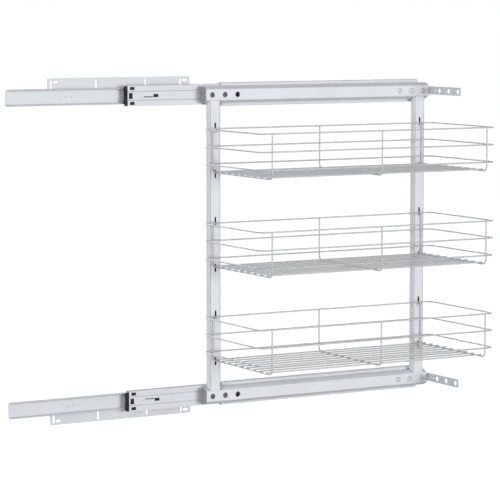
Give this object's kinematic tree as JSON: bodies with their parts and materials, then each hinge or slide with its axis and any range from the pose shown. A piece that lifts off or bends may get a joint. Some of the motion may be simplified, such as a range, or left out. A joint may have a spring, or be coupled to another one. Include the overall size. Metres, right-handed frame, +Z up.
{
  "type": "pull-out wire basket unit",
  "caption": "side-mounted pull-out frame on ball-bearing slides, carrying hung wire baskets one above the other, with slotted wall brackets and perforated door brackets",
  "frame": {"origin": "in the cabinet wall's plane, at the centre of the four level slots of the wall brackets, midway between the two slides", "axes": "+X is the pull-out direction, +Y points into the cabinet wall, +Z is up"},
  "size_m": [0.8088, 0.2398, 0.576],
  "materials": {
    "slide_steel": "bright zinc-plated cold-rolled sheet, smooth",
    "bracket_steel": "zinc-plated pressed plate, smooth",
    "frame_coat": "silver-white powder coat, satin",
    "basket_wire": "chrome-plated round wire",
    "cap_plastic": "grey moulded plastic",
    "filler_plastic": "dark grey moulded plastic",
    "bumper_plastic": "black moulded plastic",
    "ball_steel": "polished hardened steel",
    "fastener_steel": "zinc-plated steel"
  },
  "bodies": {
    "cabinet_side": {"wall_bracket_upper": "bracket_steel", "cabinet_member_upper": "slide_steel", "cabinet_rivets_upper": "fastener_steel", "wall_bracket_lower": "bracket_steel", "cabinet_member_lower": "slide_steel", "cabinet_rivets_lower": "fastener_steel"},
    "frame": {"frame_member_upper": "slide_steel", "rail_upper": "frame_coat", "rail_end_cap_upper": "cap_plastic", "joint_plates_upper": "slide_steel", "joint_rivets_upper": "fastener_steel", "frame_screws_upper": "fastener_steel", "filler_plate_upper": "filler_plastic", "door_bracket_upper": "bracket_steel", "door_bracket_screws_upper": "fastener_steel", "frame_member_lower": "slide_steel", "rail_lower": "frame_coat", "rail_end_cap_lower": "cap_plastic", "joint_plates_lower": "slide_steel", "joint_rivets_lower": "fastener_steel", "frame_screws_lower": "fastener_steel", "filler_plate_lower": "filler_plastic", "door_bracket_lower": "bracket_steel", "door_bracket_screws_lower": "fastener_steel", "rear_stile": "frame_coat", "front_stile": "frame_coat"},
    "middle_upper": {"middle_member_upper": "slide_steel", "end_bumper_upper": "bumper_plastic", "lever_pivot_upper": "fastener_steel"},
    "lever_upper": {"release_lever_upper": "bumper_plastic"},
    "inner_runner_upper": {"inner_ball_cage_upper": "slide_steel", "inner_balls_upper": "ball_steel"},
    "outer_runner_upper": {"outer_ball_cage_upper": "slide_steel", "outer_balls_upper": "ball_steel"},
    "middle_lower": {"middle_member_lower": "slide_steel", "end_bumper_lower": "bumper_plastic", "lever_pivot_lower": "fastener_steel"},
    "lever_lower": {"release_lever_lower": "bumper_plastic"},
    "inner_runner_lower": {"inner_ball_cage_lower": "slide_steel", "inner_balls_lower": "ball_steel"},
    "outer_runner_lower": {"outer_ball_cage_lower": "slide_steel", "outer_balls_lower": "ball_steel"},
    "top_basket": {"top_basket_rims": "basket_wire", "top_basket_cross_wires": "basket_wire", "top_basket_floor_wires": "basket_wire", "top_basket_hooks": "basket_wire"},
    "middle_basket": {"middle_basket_rims": "basket_wire", "middle_basket_cross_wires": "basket_wire", "middle_basket_floor_wires": "basket_wire", "middle_basket_hooks": "basket_wire"},
    "bottom_basket": {"bottom_basket_rims": "basket_wire", "bottom_basket_cross_wires": "basket_wire", "bottom_basket_floor_wires": "basket_wire", "bottom_basket_hooks": "basket_wire"}
  },
  "joints": [
    {"name": "frame_slide", "type": "slide", "parent": "cabinet_side", "child": "frame", "axis": [1, 0, 0], "range_m": [-0.391, 0]},
    {"name": "middle_slide_upper", "type": "slide", "parent": "cabinet_side", "child": "middle_upper", "axis": [1, 0, 0], "range_m": [-0.1955, 0]},
    {"name": "inner_runner_slide_upper", "type": "slide", "parent": "cabinet_side", "child": "inner_runner_upper", "axis": [1, 0, 0], "range_m": [-0.09775, 0]},
    {"name": "outer_runner_slide_upper", "type": "slide", "parent": "cabinet_side", "child": "outer_runner_upper", "axis": [1, 0, 0], "range_m": [-0.29325, 0]},
    {"name": "lever_press_upper", "type": "hinge", "parent": "middle_upper", "child": "lever_upper", "pos_m": [0.0305, -0.0153, 0.2564], "axis": [0, 1, 0], "range_deg": [0, 3], "stiffness_Nm_per_rad": 0.02},
    {"name": "middle_slide_lower", "type": "slide", "parent": "cabinet_side", "child": "middle_lower", "axis": [1, 0, 0], "range_m": [-0.1955, 0]},
    {"name": "inner_runner_slide_lower", "type": "slide", "parent": "cabinet_side", "child": "inner_runner_lower", "axis": [1, 0, 0], "range_m": [-0.09775, 0]},
    {"name": "outer_runner_slide_lower", "type": "slide", "parent": "cabinet_side", "child": "outer_runner_lower", "axis": [1, 0, 0], "range_m": [-0.29325, 0]},
    {"name": "lever_press_lower", "type": "hinge", "parent": "middle_lower", "child": "lever_lower", "pos_m": [0.0305, -0.0153, -0.2564], "axis": [0, -1, 0], "range_deg": [0, 3], "stiffness_Nm_per_rad": 0.02},
    {"name": "top_basket_lift", "type": "slide", "parent": "frame", "child": "top_basket", "axis": [0, 0, 1], "range_m": [0, 0.008]},
    {"name": "middle_basket_lift", "type": "slide", "parent": "frame", "child": "middle_basket", "axis": [0, 0, 1], "range_m": [0, 0.008]},
    {"name": "bottom_basket_lift", "type": "slide", "parent": "frame", "child": "bottom_basket", "axis": [0, 0, 1], "range_m": [0, 0.008]}
  ],
  "couplings": [
    {"joint": "middle_slide_upper", "follows": "frame_slide", "ratio": 0.5},
    {"joint": "inner_runner_slide_upper", "follows": "frame_slide", "ratio": 0.25},
    {"joint": "outer_runner_slide_upper", "follows": "frame_slide", "ratio": 0.75},
    {"joint": "middle_slide_lower", "follows": "frame_slide", "ratio": 0.5},
    {"joint": "inner_runner_slide_lower", "follows": "frame_slide", "ratio": 0.25},
    {"joint": "outer_runner_slide_lower", "follows": "frame_slide", "ratio": 0.75}
  ]
}
